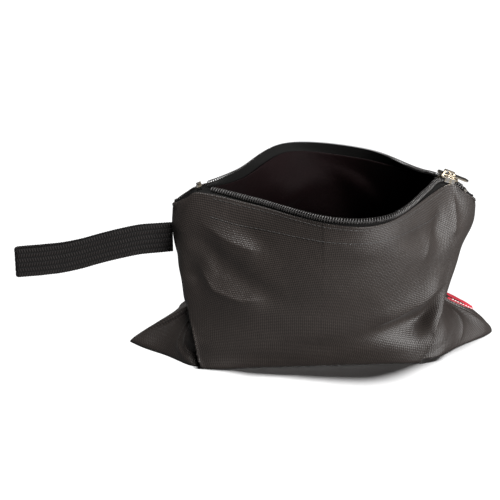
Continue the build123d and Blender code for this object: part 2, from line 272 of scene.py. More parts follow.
# Sharp folds pressed in last: points on the flat cut, height, width on each side.
CREASES = {
    FRONT: [
        ([(-90, 125), (-70, 120), (-54, 117), (-44, 116)], 1.0, 3.5, 3.5),
        ([(-84, 101), (-64, 90), (-46, 86), (-31, 89)], 1.5, 3.0, 5.0),
        ([(30, 65), (44, 73), (57, 78), (72, 81), (84, 79)], 2.6, 8.0, 3.0),
        ([(92, 136), (91, 122), (86, 108)], 1.3, 3.5, 3.5),
        ([(76, 135), (66, 118), (60, 104)], 0.7, 3.0, 3.0),
        ([(-98, 46), (-86, 34), (-78, 31)], 0.9, 2.5, 2.0),
        ([(-90, 52), (-80, 38), (-74, 36)], 0.8, 2.0, 1.6),
        ([(104, 40), (95, 30), (86, 24)], 0.8, 2.5, 2.5),
    ],
    BACK: [
        ([(62, 132), (42, 118), (20, 110), (4, 112)], 1.3, 3.0, 2.4),
        ([(-64, 128), (-44, 112), (-22, 100)], 1.4, 3.4, 2.4),
        ([(36, 66), (54, 78), (76, 82)], 1.2, 3.5, 2.0),
        ([(-76, 74), (-56, 70), (-34, 62)], 1.0, 3.0, 2.0),
        ([(96, 48), (86, 36), (78, 32)], 0.9, 2.5, 2.0),
        ([(-98, 46), (-88, 36), (-78, 32)], 0.9, 2.5, 2.0),
    ],
}

# Upright edges between the wall and the ears: points on the flat cut.
EDGES = {
    FRONT: [[(-67.5, 37), (-69, 47), (-74, 55), (-77.5, 66), (-80, 82)],
            [(58, 37), (61.5, 48), (68, 55), (80, 61), (85, 80)]],
    BACK: [[(-66, 37), (-69, 48), (-72, 60), (-76, 76)], [(62, 37), (68, 48), (74, 60), (82, 76)]],
}
FLOOR_EDGE = 0.7
EDGE_CLEAR = 11.0
EDGE_HIGH = 1.4
EDGE_WIDE = 1.2
EDGE_GROOVE = 1.8
GROOVE_AT = 2.6
EDGE_TUCK = 8.0
TUCK_SHARP = 1.4
TUCK_WIDE = 7.0
TUCK_WAY = (0.5, -0.85, 0.0)


def add_object(name, data):
    """New object in the scene."""
    obj = bpy.data.objects.new(name, data)
    bpy.context.scene.collection.objects.link(obj)
    return obj


def spline_weights(t, last):
    """Indices and weights of the four points round each t of a smooth curve."""
    i = np.clip(np.floor(t).astype(int), 0, last - 1)
    u = t - i
    index = np.stack([np.maximum(i - 1, 0), i, i + 1, np.minimum(i + 2, last)], -1)
    weight = np.stack([
        (-u + 2 * u ** 2 - u ** 3) / 2,
        (2 - 5 * u ** 2 + 3 * u ** 3) / 2,
        (u + 4 * u ** 2 - 3 * u ** 3) / 2,
        (-u ** 2 + u ** 3) / 2,
    ], -1)
    return index, weight


def along(points, t):
    """Points at t on a smooth curve through the given points."""
    points = np.asarray(points, float)
    index, weight = spline_weights(np.asarray(t, float), len(points) - 1)
    return np.einsum("...k,...kd->...d", weight, points[index])


def over(rows, s, t):
    """Points at column s and row t of a smooth surface through rows of points."""
    rows = np.asarray(rows, float)
    i_s, w_s = spline_weights(np.asarray(s, float), rows.shape[1] - 1)
    i_t, w_t = spline_weights(np.asarray(t, float), rows.shape[0] - 1)
    near = rows[i_t[..., :, None], i_s[..., None, :]]
    return np.einsum("...a,...b,...abd->...d", w_t, w_s, near)


def smooth(x, low=0.0, high=1.0):
    """Smooth step from 0 at low to 1 at high."""
    x = np.clip((x - low) / (high - low), 0, 1)
    return x * x * (3 - 2 * x)


def lengths(path):
    """Length along a path up to each of its points."""
    return np.concatenate([[0], np.cumsum(np.linalg.norm(np.diff(path, axis=0), axis=1))])


def resampled(path, steps, marks):
    """Points of a path at given lengths along it."""
    return np.stack([np.interp(marks, steps, line) for line in path.T], -1)


def bump(u, v, at, size, turn):
    """Soft round or long hill of height 1 on the flat cut."""
    c, s = math.cos(math.radians(turn)), math.sin(math.radians(turn))
    a = ((u - at[0]) * c + (v - at[1]) * s) / size[0]
    b = ((v - at[1]) * c - (u - at[0]) * s) / size[1]
    return np.exp(-(a * a + b * b))


def unit(vectors):
    """Vectors scaled to length 1."""
    return vectors / np.maximum(np.linalg.norm(vectors, axis=-1, keepdims=True), 1e-9)


def normals(grid):
    """Outward unit normals of a grid, rows upwards and columns to the right."""
    return unit(np.cross(np.gradient(grid, axis=0), np.gradient(grid, axis=1)))


# --- shape of the cloth

def wall_rows(side):
    """Rows of stations of one half, floor to fold."""
    deeper = BACK_DEEPER if side == BACK else 1.0
    rows = [[(x, y * deeper, z) for x, y in stations] for z, stations in LEVELS]
    rows.append(FOLD[side])
    rows = np.array(rows, float)
    if side == BACK:
        rows[:-1, :, 0] += np.outer(BACK_TUCK, TUCK_SHARE)
    return rows


def flat_across(rows, s_count=161, t_count=81):
    """Table of flat width coordinates over the wall, by length along each level."""
    s = np.linspace(0, rows.shape[1] - 1, s_count)
    t = np.linspace(0, rows.shape[0] - 1, t_count)
    grid = over(rows, *np.meshgrid(s, t))
    steps = np.linalg.norm(np.diff(grid, axis=1), axis=2)
    length = np.concatenate([np.zeros((t_count, 1)), np.cumsum(steps, 1)], 1)
    across = (length / length[:, -1:] - 0.5) * FLAT_WIDE
    floor = (grid[:1, :, 0] - TIP_SHIFT) * FLAT_WIDE / (grid[0, -1, 0] - grid[0, 0, 0])
    blend = smooth(t, 0, 3)[:, None]
    return s, t, floor * (1 - blend) + across * blend, grid


def table_at(table, s_list, t_list, s, t):
    """Value of an even table between its entries."""
    fs = np.clip(s / s_list[-1] * (len(s_list) - 1), 0, len(s_list) - 1.001)
    ft = np.clip(t / t_list[-1] * (len(t_list) - 1), 0, len(t_list) - 1.001)
    i, j = fs.astype(int), ft.astype(int)
    a, b = fs - i, ft - j
    lower = table[j, i] * (1 - a) + table[j, i + 1] * a
    upper = table[j + 1, i] * (1 - a) + table[j + 1, i + 1] * a
    return lower * (1 - b) + upper * b


def crease_height(u):
    """Height on the flat cut where the bottom turns up into the wall."""
    slope = (FLAT_WIDE / 2 - np.abs(u)) / (FLAT_WIDE / 2 - CORNER_AT)
    return BOTTOM_HALF * np.clip(slope, 0, 1)


def placed(side, u, v):
    """Place of each point of the flat cut on the designed shape."""
    rows = wall_rows(side)
    s_list, t_list, across, grid = flat_across(rows)
    climb = lengths(grid[:, len(s_list) // 2])
    crease = crease_height(u)
    share = np.clip((v - crease) / (FLAT_HIGH - crease), 0, 1)
    t = np.interp(share, climb / climb[-1], t_list)
    low, high = np.zeros_like(t), np.full_like(t, s_list[-1])
    for _ in range(24):
        middle = (low + high) / 2
        right = table_at(across, s_list, t_list, middle, t) < u
        low = np.where(right, middle, low)
        high = np.where(right, high, middle)
    points = over(rows, (low + high) / 2, t)
    points[..., 1] *= np.where(v < crease, v / np.maximum(crease, 1e-6), 1.0)
    return points


def flat_grid():
    """Flat coordinates of the settling grid."""
    u = np.linspace(-FLAT_WIDE / 2, FLAT_WIDE / 2, COLUMNS + 1)
    v = np.linspace(0, FLAT_HIGH, ROWS + 1)
    return np.meshgrid(u, v)


def designed(side):
    """Starting grid of one half, with its large folds pressed in."""
    u, v = flat_grid()
    grid = placed(side, u, v)
    keep = smooth(v, BOTTOM_HALF + 4, BOTTOM_HALF + 16) * (1 - smooth(v, FLAT_HIGH - 14, FLAT_HIGH - 3))
    keep *= smooth(FLAT_WIDE / 2 - np.abs(u), 2, 16)
    for line in EDGES[side]:
        keep *= smooth(np.abs(from_line(u, v, line)[0]), 2, EDGE_CLEAR)
    push = sum(high * bump(u, v, at, size, turn) for at, size, turn, high in HOLLOWS[side])
    return grid + normals(grid) * (push * keep)[..., None]


def pair(grid, offset):
    """The grid and the same grid offset rows and columns away, as two views."""
    dj, di = offset
    height, width = grid.shape[:2]
    a = grid[:height - dj, max(-di, 0):width - max(di, 0)]
    b = grid[dj:, max(di, 0):width + min(di, 0)]
    return a, b


def pull(grid, offset, rest, stiff, parity):
    """Move pairs of points towards their rest distance, every other pair at a time."""
    a, b = pair(grid, offset)
    gap = b - a
    length = np.linalg.norm(gap, axis=2)
    move = (stiff / 2) * (1 - rest / np.maximum(length, 1e-6))
    step = max(abs(d) for d in offset)
    count = a.shape[0] if offset[0] else a.shape[1]
    turn = np.arange(count) // step % 2 == parity
    place = turn[:, None] if offset[0] else turn[None, :]
    push = gap * (move * place)[..., None]
    a += push
    b -= push


def rest_length(grid, offset, flat):
    """Rest distances: those of the flat cut, kept within a few percent of the shape's."""
    a, b = pair(grid, offset)
    length = np.linalg.norm(b - a, axis=2)
    return np.clip(flat, length, length * GIVE)


def hold_map(u, v):
    """How firmly each point is held to the designed shape."""
    hold = np.full(u.shape, HOLD)
    hold = np.maximum(hold, smooth(v, FLAT_HIGH - 6, FLAT_HIGH))
    hold = np.maximum(hold, HOLD_FLOOR * (1 - smooth(v - crease_height(u), -4, 6)))
    hold = np.maximum(hold, HOLD_SEAM * (1 - smooth(FLAT_WIDE / 2 - np.abs(u), 0, 6)))
    return hold


def sew(front, back):
    """Join the halves along the bottom and both side seams."""
    for part in (np.s_[0, :], np.s_[:, 0], np.s_[:, -1]):
        middle = (front[part] + back[part]) / 2
        middle[..., 1] = 0
        front[part] = middle
        back[part] = middle


def settle(rounds):
    """Let both sewn halves find their folds: cloth keeps its cut lengths and bends softly."""
    u, v = flat_grid()
    du, dv = FLAT_WIDE / COLUMNS, FLAT_HIGH / ROWS
    slant = math.hypot(du, dv)
    kinds = [((0, 1), du, STIFF_YARN), ((1, 0), dv, STIFF_YARN),
             ((1, 1), slant, STIFF_BIAS), ((1, -1), slant, STIFF_BIAS)]
    for cells, stiff in zip((2, 5), STIFF_BEND):
        kinds += [((0, cells), cells * du, stiff), ((cells, 0), cells * dv, stiff)]
    goals = [designed(FRONT), designed(BACK)]
    grids = [goal.copy() for goal in goals]
    rests = [[rest_length(goal, offset, flat) for offset, flat, _ in kinds] for goal in goals]
    hold = hold_map(u, v)[..., None]
    for _ in range(rounds):
        for grid, goal, rest in zip(grids, goals, rests):
            grid[..., 2] -= SAG
            for (offset, _, stiff), length in zip(kinds, rest):
                pull(grid, offset, length, stiff, 0)
                pull(grid, offset, length, stiff, 1)
            grid += (goal - grid) * hold
            np.maximum(grid[..., 1:], 0, out=grid[..., 1:])
        sew(*grids)
    return dict(zip((FRONT, BACK), map(iron, grids)))


def iron(grid):
    """Smooth the small ripples out of the settled cloth, leaving its seams and fold alone."""
    for _ in range(IRON_TIMES):
        across = grid[1:-1, :-2] + grid[1:-1, 2:]
        upright = grid[:-2, 1:-1] + grid[2:, 1:-1]
        grid[1:-1, 1:-1] = grid[1:-1, 1:-1] / 2 + (across + upright) / 8
    return grid


def roll_seam(grid, side):
    """Press the side seams in and let the back cloth stand over them on the ears."""
    u, v = flat_grid()
    near = FLAT_WIDE / 2 - np.abs(u)
    lift = SEAM_PUFF * (1 - np.exp(-near / 1.3)) * np.exp(-near / 8)
    on_ear = 1 - smooth(v, 34, 62)
    tip = smooth(np.hypot(near, v), 5, 14)
    grid = grid + normals(grid) * (lift * smooth(v, 0, 8) * tip)[..., None]
    clear = smooth(v, 6, 22)
    puff = EAR_PUFF * smooth(near, 0, 3) * (1 - smooth(near, 10, 22)) * on_ear
    grid = grid + normals(grid) * puff[..., None]
    grid[..., 1] -= side * SEAM_ROLL * np.exp(-(near / 6) ** 2) * on_ear * clear
    if side == BACK:
        swell = (1 - np.exp(-near / 1.5)) * np.exp(-(near / 9) ** 2)
        grid[..., 2] += BACK_RISE * swell * on_ear * clear
    return grid


def round_tips(grid):
    """Blunt the two pointed tips of the ears."""
    x = grid[..., 0]
    middle = (x.max() + x.min()) / 2
    reach = np.where(x > middle, x.max(), x.min())
    inside = np.abs(reach - x)
    drawn = np.hypot(inside, TIP_BLUNT) - TIP_OUT * np.exp(-(inside / TIP_FADE) ** 2)
    grid[..., 0] = reach + np.sign(middle - reach) * drawn
    return grid


def from_line(u, v, line):
    """Signed distance of every point from a line of segments, and place along it, 0 to 1."""
    line = np.array(line, float)
    best = np.full(u.shape, np.inf)
    signed = np.zeros(u.shape)
    place = np.zeros(u.shape)
    count = len(line) - 1
    for i, (start, end) in enumerate(zip(line, line[1:])):
        ahead = end - start
        share = ((u - start[0]) * ahead[0] + (v - start[1]) * ahead[1]) / (ahead @ ahead)
        share = np.clip(share, 0, 1)
        du, dv = u - start[0] - share * ahead[0], v - start[1] - share * ahead[1]
        far = np.hypot(du, dv)
        nearer = far < best
        side = np.sign(ahead[0] * dv - ahead[1] * du)
        best = np.where(nearer, far, best)
        signed = np.where(nearer, far * side, signed)
        place = np.where(nearer, (i + share) / count, place)
    return signed, place


def upright_edges(flat, side):
    """Each upright edge: its end of the bag, distance past it towards the ear, and strength,
    which is full from the floor up and fades out where the ear's seam begins.
    """
    u, v = flat[..., 0], flat[..., 1]
    for line in EDGES[side]:
        off, place = from_line(u, v, line)
        end = np.sign(line[0][0])
        yield end, -off * end, smooth(v, 31, 40) * (1 - smooth(place, 0.5, 0.9))


def tuck_ears(grid, flat, side):
    """Draw the ears in behind the upright edges of the wall."""
    for end, past, strength in upright_edges(flat, side):
        rise = np.clip(past / TUCK_SHARP, 0, 1) * np.exp(-np.maximum(past - TUCK_SHARP, 0) / TUCK_WIDE)
        deep = EDGE_TUCK * strength * rise
        grid = grid + deep[..., None] * np.array(TUCK_WAY) * np.array([-end, 1, 1])
    return grid


def press_creases(grid, flat, side):
    """Press the sharp folds and the ridges of the upright edges into the settled cloth."""
    u, v = flat[..., 0], flat[..., 1]
    push = np.zeros(u.shape)
    for line, high, left, right in CREASES[side]:
        off, place = from_line(u, v, line)
        wide = np.where(off > 0, left, right)
        fade = smooth(place, 0, 0.3) * (1 - smooth(place, 0.75, 1))
        push += high * fade * np.exp(-np.abs(off) / wide) * (np.abs(off) < 6 * wide)
    for _, past, strength in upright_edges(flat, side):
        groove = EDGE_GROOVE * np.exp(-((past - GROOVE_AT) / EDGE_WIDE) ** 2)
        push += strength * (EDGE_HIGH * np.exp(-np.abs(past) / EDGE_WIDE) - groove)
    floor_edge = np.exp(-np.abs(v - crease_height(u)) / 2.0) * (1 - smooth(np.abs(u), 92, 104))
    push += FLOOR_EDGE * floor_edge
    push *= smooth(np.hypot(FLAT_WIDE / 2 - np.abs(u), v), 6, 16)
    grid = grid + normals(grid) * push[..., None]
    np.maximum(grid[..., 2], 0, out=grid[..., 2])
    return grid


def refine(grid, times):
    """Finer grid through the same points."""
    t, s = (np.linspace(0, count - 1, (count - 1) * times + 1) for count in grid.shape[:2])
    return over(grid, *np.meshgrid(s, t))


def sample(grid, u, v):
    """Values of a grid of the whole cloth at flat coordinates."""
    s = (np.asarray(u) / FLAT_WIDE + 0.5) * (grid.shape[1] - 1)
    t = np.asarray(v) / FLAT_HIGH * (grid.shape[0] - 1)
    return over(grid, *np.broadcast_arrays(s, t))


class Half:
    """Settled outer cloth of one half, on a fine grid."""

    def __init__(self, side, grid):
        self.side = side
        self.flat = refine(np.stack(flat_grid(), -1), REFINE)
        fine = refine(grid, REFINE)
        self.inward = -normals(fine)
        self.smooth = round_tips(tuck_ears(fine, self.flat, side))
        pressed = press_creases(refine(roll_seam(grid, side), REFINE), self.flat, side)
        self.outer = round_tips(tuck_ears(pressed, self.flat, side))
        self.out = normals(self.outer)
        self.s_list, _, across, _ = flat_across(wall_rows(side))
        self.u_list = across[-1]

    def layer(self, depth):
        """The whole cloth moved a depth inwards, kept on its side of the seam plane."""
        grid = self.smooth + self.inward * np.asarray(depth)[..., None]
        near = FLAT_WIDE / 2 - np.abs(self.flat[..., 0])
        grid[..., 1] = np.maximum(grid[..., 1], 0) * smooth(near, LINING_SEAM, LINING_SEAM + 9)
        grid[..., 2] = np.maximum(grid[..., 2], depth * 0.6)
        return grid

    def out_at(self, u, v):
        """Outward directions at flat coordinates."""
        return unit(sample(self.out, u, v))

    def at(self, u, v, depth=0.0):
        """Points of the cloth at flat coordinates, a depth inwards."""
        return sample(self.outer, u, v) - self.out_at(u, v) * np.asarray(depth)[..., None]


# --- mesh building

class Parts:
    """Collects grids of points into one mesh."""

    def __init__(self, side=1):
        self.side = side
        self.points, self.quads, self.flats = [], [], []
        self.count = 0

    def add(self, points, flat, closed=False, flip=False):
        """Add a grid of points with flat coordinates, closed round its columns if asked."""
        if closed:
            points = np.concatenate([points, points[:, :1]], 1)
            flat = np.concatenate([flat, flat[:, -1:] * 2 - flat[:, -2:-1]], 1)
        height, width = points.shape[:2]
        index = np.arange(height * width).reshape(height, width) + self.count
        if closed:
            index[:, -1] = index[:, 0]
        quads = np.stack([index[:-1, :-1], index[:-1, 1:], index[1:, 1:], index[1:, :-1]], -1)
        corners = np.stack([flat[:-1, :-1], flat[:-1, 1:], flat[1:, 1:], flat[1:, :-1]], -2)
        if (self.side == BACK) != flip:
            quads, corners = quads[..., ::-1], corners[..., ::-1, :]
        self.points.append(points.reshape(-1, 3))
        self.quads.append(quads.reshape(-1, 4))
        self.flats.append(corners.reshape(-1, 2))
        self.count += height * width

    def build(self, name):
        """The mesh object."""
        mesh = bpy.data.meshes.new(name)
        points = np.concatenate(self.points) * np.array([1, self.side, 1]) * MM
        mesh.from_pydata(points.tolist(), [], np.concatenate(self.quads).tolist())
        layer = mesh.uv_layers.new(name="flat")
        layer.data.foreach_set("uv", np.concatenate(self.flats).ravel())
        mesh.shade_smooth()
        obj = add_object(name, mesh)
        tidy(obj)
        return obj


def tidy(obj):
    """Join doubled points and drop loose ones."""
    work = bmesh.new()
    work.from_mesh(obj.data)
    bmesh.ops.remove_doubles(work, verts=work.verts, dist=1e-7)
    bmesh.ops.delete(work, geom=[v for v in work.verts if not v.link_faces], context="VERTS")
    work.to_mesh(obj.data)
    work.free()


def flat_of_grid(grid):
    """Flat coordinates by length along a grid's middle row and column."""
    height, width = grid.shape[:2]
    return np.stack(np.meshgrid(lengths(grid[height // 2]), lengths(grid[:, width // 2])), -1)


def add_slab(parts, outer, inner, flat):
    """Closed slab between two facing grids."""
    parts.add(outer, flat)
    parts.add(inner, flat, flip=True)
    edges = ((np.s_[0], True), (np.s_[-1], False), (np.s_[:, 0], False), (np.s_[:, -1], True))
    for edge, flip in edges:
        parts.add(np.stack([outer[edge], inner[edge]]), np.stack([flat[edge]] * 2), flip=flip)


def add_tube(parts, path, up, radius, sides=6):
    """Round tube along a path; up keeps it from twisting."""
    ahead = unit(np.gradient(path, axis=0))
    across = unit(np.cross(ahead, up))
    up = np.cross(across, ahead)
    radius = np.broadcast_to(radius, (len(path),))[:, None, None]
    around = np.arange(sides) / sides
    turn = (around * 2 * math.pi)[None, :, None]
    ring = np.cos(turn) * across[:, None] + np.sin(turn) * up[:, None]
    parts.add(path[:, None] + ring * radius, np.stack(np.meshgrid(around, lengths(path)), -1), closed=True)


# --- pieces of cloth

def outer_cloth(half):
    """Outer cloth with its edge rolled over and hemmed inside."""
    grid, out = half.outer, half.out
    edge, n = grid[-1], out[-1]
    up = unit(edge - grid[-2])
    turns = np.linspace(0, math.pi, 8)[1:]
    centre = edge - n * ROLL
    roll = np.stack([centre + ROLL * (math.cos(a) * n + math.sin(a) * up) for a in turns])
    down = int(HEM / FLAT_HIGH * (len(grid) - 1))
    inside = (grid - out * 2 * ROLL)[-2:-2 - down:-1]
    points = np.concatenate([grid, roll, inside])
    rows = len(points) - len(grid)
    extra = np.repeat(half.flat[-1:], rows, 0)
    extra[..., 1] += (np.arange(rows)[:, None] + 1) * (HEM / down)
    turned = points[len(grid):, :, 1]
    np.maximum(turned, HEM_CLEAR, out=turned)
    parts = Parts(half.side)
    parts.add(points, np.concatenate([half.flat, extra]))
    return parts.build(f"{NAMES[half.side]}_cloth")


def lining_cloth(half):
    """Lining with loose ripples, from its own floor to below the zip tape."""
    u, v = half.flat[..., 0], half.flat[..., 1]
    loose = 0.5 + 0.5 * np.sin(u / 9.0 + 2.2 * np.sin(v / 17.0)) * np.sin(v / 21.0 + u / 33.0)
    wave = smooth(v, BOTTOM_HALF, BOTTOM_HALF + 30) * (1 - smooth(v, FLAT_HIGH - 26, FLAT_HIGH - 10))
    depth = LINING_DEPTH + (LINING_RIPPLE * loose * wave) * smooth(FLAT_WIDE / 2 - np.abs(u), 4, 20)
    top = int((1 - LINING_BELOW / FLAT_HIGH) * (len(half.outer) - 1)) + 1
    kept = np.abs(half.flat[0, :, 0]) < FLAT_WIDE / 2 - LINING_SEAM
    grids = (half.layer(depth), half.layer(depth + LINING), half.flat)
    parts = Parts(half.side)
    add_slab(parts, *(grid[:top:2, kept][:, ::2] for grid in grids))
    return parts.build(f"{NAMES[half.side]}_lining_cloth")


# --- the zip and its seams

def zip_rows(half):
    """Rows of one tape: up the inside of the hem, over the fold and out to the free edge."""
    lip = LIP[half.side]
    edge = np.array([point for _, point in lip], float)
    u = np.interp([station for station, _ in lip], half.s_list, half.u_list)
    levels = (FLAT_HIGH - TAPE_INSIDE, FLAT_HIGH - TAPE_INSIDE / 2, FLAT_HIGH)
    rows = [half.at(u, np.full_like(u, v), TAPE_DEPTH) for v in levels]
    return np.stack(rows + [edge])


def zip_tape(half):
    """Woven tape of one half of the zip, with its thick sewn edge."""
    source = zip_rows(half)
    sigma = np.linspace(0, source.shape[1] - 1, TAPE_COLUMNS)
    level = np.linspace(0, LIP_ROW, TAPE_ROWS)
    outer = over(source, *np.meshgrid(sigma, level))
    out = normals(outer)
    thick = np.full(outer.shape[:2], TAPE)
    thick[-2:] *= 0.8
    inner = outer - out * thick[..., None]
    for face in (outer, inner):
        np.maximum(face[..., 1], TAPE_CLEAR, out=face[..., 1])
    parts = Parts(half.side)
    add_slab(parts, outer, inner, flat_of_grid(outer))
    return parts.build(f"{NAMES[half.side]}_tape")


def chain_path(half, step):
    """One row of coil: its line, the ways across the tape and out of it, and lengths along it."""
    source = zip_rows(half)
    stations = [station for station, _ in LIP[half.side]]
    ends = np.interp((COIL_FROM, COIL_TO), stations, np.arange(len(stations)))
    sigma = np.linspace(*ends, CHAIN_STEPS)
    edge, below = (over(source, sigma, np.full_like(sigma, LIP_ROW - back)) for back in (0, CHAIN_BACK))
    steps = lengths(edge)
    marks = np.arange(0, steps[-1], step)
    edge, below = (resampled(line, steps, marks) for line in (edge, below))
    ahead = unit(np.gradient(edge, axis=0))
    inward = below - edge
    inward = unit(inward - ahead * np.sum(inward * ahead, 1, keepdims=True))
    out = unit(np.cross(ahead, inward))
    return edge, inward, out, marks


def zip_coil(half):
    """Nylon coil: a flattened spiral sewn to the tape, its loops standing past the edge."""
    edge, inward, out, marks = chain_path(half, COIL_PITCH / LOOP_STEPS)
    turn = marks / COIL_PITCH * 2 * math.pi
    wide, high = COIL_HALF
    centre = edge + inward * (COIL_BACK - 0.35) + out * (high + 0.1)
    path = centre + inward * (wide * np.cos(turn))[:, None] + out * (high * np.sin(turn))[:, None]
    path[:, 1] = np.maximum(path[:, 1], COIL_CLEAR)
    parts = Parts(half.side)
    up = unit(out * np.sin(turn)[:, None] + inward * np.cos(turn)[:, None])
    add_tube(parts, path, up, WIRE)
    return parts.build(f"{NAMES[half.side]}_coil")


def coil_thread(half):
    """Two rows of chain stitching that hold the coil to its tape."""
    edge, inward, out, marks = chain_path(half, COIL_PITCH / 6)
    parts = Parts(half.side)
    for place, phase, lift in COIL_SEWN:
        wave = np.sin(marks / COIL_PITCH * 2 * math.pi + phase)
        path = edge + inward * (place + 0.12 * wave)[:, None] + out * (lift + 0.08 * np.abs(wave))[:, None]
        path[:, 1] = np.maximum(path[:, 1], COIL_SEWN_CLEAR)
        add_tube(parts, path, out, COIL_THREAD, 5)
    return parts.build(f"{NAMES[half.side]}_coil_thread")


def topstitch(half):
    """Two rows of single stitches that sink into the cloth at both ends."""
    parts = Parts(half.side)
    reach = np.linspace(-STITCH_REACH, STITCH_REACH, LINE_STEPS)
    swell = np.sin(np.linspace(0, math.pi, STITCH_STEPS))
    for below in STITCH_ROWS:
        v = FLAT_HIGH - below
        line = half.at(reach, v)
        steps = lengths(line)
        for start in np.arange(0, steps[-1] - STITCH, STITCH + STITCH_GAP):
            marks = np.interp(np.linspace(start, start + STITCH, STITCH_STEPS), steps, reach)
            path = half.at(marks, v, -(swell ** 0.6 * STITCH_SWELL - STITCH_SUNK))
            add_tube(parts, path, half.out_at(marks, v), THREAD * (0.75 + 0.25 * swell))
    return parts.build(f"{NAMES[half.side]}_topstitch")


# --- strap and tag

def strap_face(thick):
    """Plan of one face of the loop: out from the seam, round the tip and back."""
    place = np.linspace(0, 1, 150)
    x = STRAP_ROOT - (STRAP_ROOT - STRAP_END - STRAP_EYE - WEBBING) * place
    y = STRAP_GAP + STRAP_EYE * place ** 0.6 * (1 + 0.25 * np.sin(place * 9.0)) + thick
    angles = np.linspace(0, math.pi / 2, 12)[1:]
    x = np.concatenate([x, x[-1] - y[-1] * np.sin(angles)])
    y = np.concatenate([y, y[-1] * np.cos(angles)])
    return np.stack([np.concatenate([x, x[-2::-1]]), np.concatenate([-y, y[-2::-1]])], -1)


def web_height(along_web, share):
    """Relief of the webbing: lengthwise rows of slanting floats that change hands."""
    rows = share * WEB_ROWS
    row = np.floor(rows)
    inside = rows - row
    lean = np.where(row % 2 == 0, 1.0, -1.0)
    float_wave = 0.5 + 0.5 * np.cos(2 * math.pi * (along_web / WEB_FLOAT + lean * inside * WEB_LEAN))
    round_row = np.sin(math.pi * inside) ** 0.5
    return round_row * (0.55 + 0.45 * float_wave)


def wrist_strap():
    """Woven webbing folded into a loop, with relief on both faces."""
    faces = [strap_face(WEBBING), strap_face(0)]
    length = lengths(faces[0])
    marks = np.arange(0, length[-1], WEB_STEP)
    faces = [resampled(face, length, marks) for face in faces]
    up = np.linspace(0, 1, WEB_LINES)[:, None]
    knots, heights = np.array(STRAP_TOP, float).T
    station = np.interp(-faces[0][:, 0], -knots, np.arange(len(knots)))
    top = along(heights[:, None], station)[:, 0]
    scallop = SCALLOP * np.abs(np.sin(math.pi * marks / WEB_FLOAT))
    edge = 1 - np.clip(np.minimum(up, 1 - up) / WEB_EDGE, 0, 1)
    relief = WEB_DEEP * web_height(marks[None], up) - WEB_DEEP - WEB_ROUND * edge ** 2
    grids = []
    for face, sign in zip(faces, (1, -1)):
        x, y = face.T
        turn = unit(np.stack([np.gradient(y), -np.gradient(x)], -1)) * -1
        grid = np.zeros((WEB_LINES, len(marks), 3))
        grid[..., :2] = face + turn * (relief * sign)[..., None]
        grid[..., 2] = top - STRAP_WIDE + (STRAP_WIDE + scallop) * up - scallop * (1 - up)
        grids.append(grid)
    parts = Parts()
    add_slab(parts, *grids, np.stack(np.meshgrid(marks, up * STRAP_WIDE), -1))
    return parts.build("wrist_strap_webbing")


def tag_frame():
    """Root of the tag: its two ends, the way along the seam and the way up from it."""
    start, end = np.array([TAG_FROM[0], 0, TAG_FROM[1]]), np.array([TAG_TO[0], 0, TAG_TO[1]])
    ahead = unit(end - start)
    up = np.array([-ahead[2], 0, ahead[0]])
    return start, end, ahead, up


def side_tag():
    """Folded label: two layers out of the seam, over the ear, joined by a soft fold."""
    start, end, _, up = tag_frame()
    across = np.linspace(0, 1, 40)
    reach = np.linspace(-TAG_ROOT, TAG_OUT - TAG_EASE, 30)
    arch = np.clip((reach + TAG_ROOT) / (TAG_OUT + TAG_ROOT - TAG_EASE), 0, 1)
    rise = 0.35 + 0.45 * np.sin(arch * math.pi * 0.9)
    loop_y = np.concatenate([reach, reach[::-1]])
    loop_z = np.concatenate([rise + TAG_PLY, rise[::-1]])
    root = start + (end - start) * across[:, None]
    wave = 0.18 * np.sin(across * 7.0)
    taper = 1 - 0.5 * smooth(across, 0.72, 1.05)
    lift = loop_z[:, None] + wave[None] * np.clip(loop_y[:, None] / TAG_OUT, 0, 1)
    points = root[None] + np.array([0, 1, 0]) * (loop_y[:, None] * taper)[..., None] + up * lift[..., None]
    parts = Parts()
    inner = points - normals(points) * RIBBON
    add_slab(parts, points, inner, flat_of_grid(points))
    return parts.build("side_tag_ribbon")


def tag_stitches():
    """Short white stitches along the tag's root."""
    start, end, ahead, up = tag_frame()
    parts = Parts()
    long = float(np.linalg.norm(end - start))
    swell = np.sin(np.linspace(0, math.pi, 7))
    for place in np.arange(0.2 * long, 0.94 * long, TAG_PITCH):
        marks = place + np.linspace(-TAG_STITCH, TAG_STITCH, 7)
        path = start + ahead * marks[:, None] + up * (0.95 + 0.16 * swell)[:, None]
        path[:, 1] -= TAG_STITCH_FRONT
        add_tube(parts, path, up, TAG_THREAD * (0.6 + 0.4 * swell))
    return parts.build("side_tag_stitches")


# --- materials

